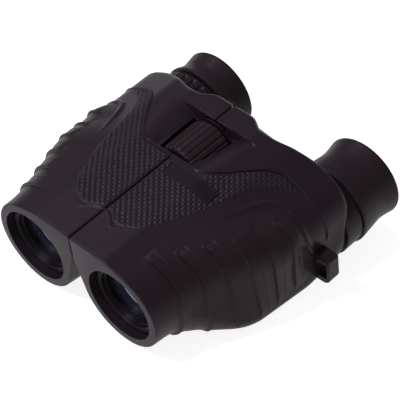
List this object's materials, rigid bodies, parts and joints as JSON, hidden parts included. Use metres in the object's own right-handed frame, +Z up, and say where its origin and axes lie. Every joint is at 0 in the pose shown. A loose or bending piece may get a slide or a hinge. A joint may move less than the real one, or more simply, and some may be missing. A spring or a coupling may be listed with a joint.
{
  "type": "compact binoculars",
  "caption": "Compact folding binoculars with hoods set close together, a central focus wheel, ribbed rubber sides and fold-down eyecups.",
  "frame": {"origin": "centre of the box on the ground, with the binoculars lying on the lower edges of the hoods and of the eyepiece collars", "axes": "+X to the right half as seen from the eyepieces' far side (picture right), +Y from the hoods to the eyepieces, +Z up; the optical axes lean 9.2 degrees up to the rear"},
  "size_m": [0.1172, 0.1182, 0.0511],
  "materials": {
    "skinned_shell": "soft rubber-coated, matt",
    "rubber_grip": "matt",
    "woven_panel": "matt, fine raised pattern",
    "moulded_black": "matt",
    "satin_black": "black anodised",
    "bare_alloy": "as cast",
    "brass": "turned",
    "steel": "plain",
    "clear_glass": "polished",
    "coated_glass": "polished, anti-reflection coated",
    "badge": "smooth, bare"
  },
  "bodies": {
    "left_half": {"left_front_housing": "skinned_shell", "left_rear_housing": "skinned_shell", "left_strap_lug": "skinned_shell", "left_side_grip": "rubber_grip", "left_top_panel": "woven_panel", "left_chassis": "bare_alloy", "left_rear_prism": "clear_glass", "left_front_prism": "clear_glass", "left_rear_prism_clip": "steel", "left_front_prism_clip": "steel", "front_hinge_pin": "steel", "middle_hinge_sleeve": "brass", "rear_hinge_bush": "brass"},
    "right_half": {"right_front_housing": "skinned_shell", "right_rear_housing": "skinned_shell", "right_strap_lug": "skinned_shell", "right_side_grip": "rubber_grip", "right_top_panel": "woven_panel", "right_chassis": "bare_alloy", "right_rear_prism": "clear_glass", "right_front_prism": "clear_glass", "right_rear_prism_clip": "steel", "right_front_prism_clip": "steel", "name_plate": "badge", "right_eyepiece_collar": "moulded_black", "right_eyepiece_barrel": "satin_black", "right_field_lens": "clear_glass", "right_spacer_tube": "satin_black", "right_eye_lens": "coated_glass", "right_eyecup": "rubber_grip"},
    "wheel": {"focus_wheel": "rubber_grip", "focus_spindle": "steel"},
    "nut": {"focus_nut": "brass"},
    "left_cell": {"left_objective_cell": "moulded_black", "left_retaining_ring": "satin_black", "left_objective_doublet": "coated_glass", "left_focus_arm": "satin_black"},
    "right_cell": {"right_objective_cell": "moulded_black", "right_retaining_ring": "satin_black", "right_objective_doublet": "coated_glass", "right_focus_arm": "satin_black"},
    "dioptre": {"left_dioptre_ring": "moulded_black"},
    "left_eyepiece": {"left_eyepiece_barrel": "satin_black", "left_field_lens": "clear_glass", "left_spacer_tube": "satin_black", "left_eye_lens": "coated_glass", "left_eyecup": "rubber_grip"}
  },
  "joints": [
    {"name": "fold", "type": "hinge", "parent": "left_half", "child": "right_half", "pos_m": [0, -0.00817, 0.03547], "axis": [0, 0.9872, 0.1594], "range_deg": [0, 28]},
    {"name": "nut_slide", "type": "slide", "parent": "left_half", "child": "nut", "axis": [0, 0.9872, 0.1594], "range_m": [-0.00239, 0.00099]},
    {"name": "wheel_turn", "type": "hinge", "parent": "left_half", "child": "wheel", "pos_m": [0, 0.00407, 0.03745], "axis": [0, 0.9872, 0.1594], "range_deg": [-100, 240]},
    {"name": "left_cell_slide", "type": "slide", "parent": "left_half", "child": "left_cell", "axis": [0, 0.9872, 0.1594], "range_m": [-0.0024, 0.001]},
    {"name": "right_cell_slide", "type": "slide", "parent": "right_half", "child": "right_cell", "axis": [0, 0.9872, 0.1594], "range_m": [-0.0024, 0.001]},
    {"name": "left_eyepiece_slide", "type": "slide", "parent": "left_half", "child": "left_eyepiece", "axis": [0, 0.9872, 0.1594], "range_m": [-0.0008, 0.0008]},
    {"name": "dioptre_turn", "type": "hinge", "parent": "left_half", "child": "dioptre", "pos_m": [-0.037, 0.03522, 0.01766], "axis": [0, 0.9872, 0.1594], "range_deg": [-60, 60]}
  ],
  "couplings": [
    {"joint": "wheel_turn", "follows": "nut_slide", "rad_per_m": -1754.4},
    {"joint": "left_cell_slide", "follows": "nut_slide", "ratio": 1},
    {"joint": "right_cell_slide", "follows": "nut_slide", "ratio": 1},
    {"joint": "dioptre_turn", "follows": "left_eyepiece_slide", "rad_per_m": 1315.8}
  ]
}
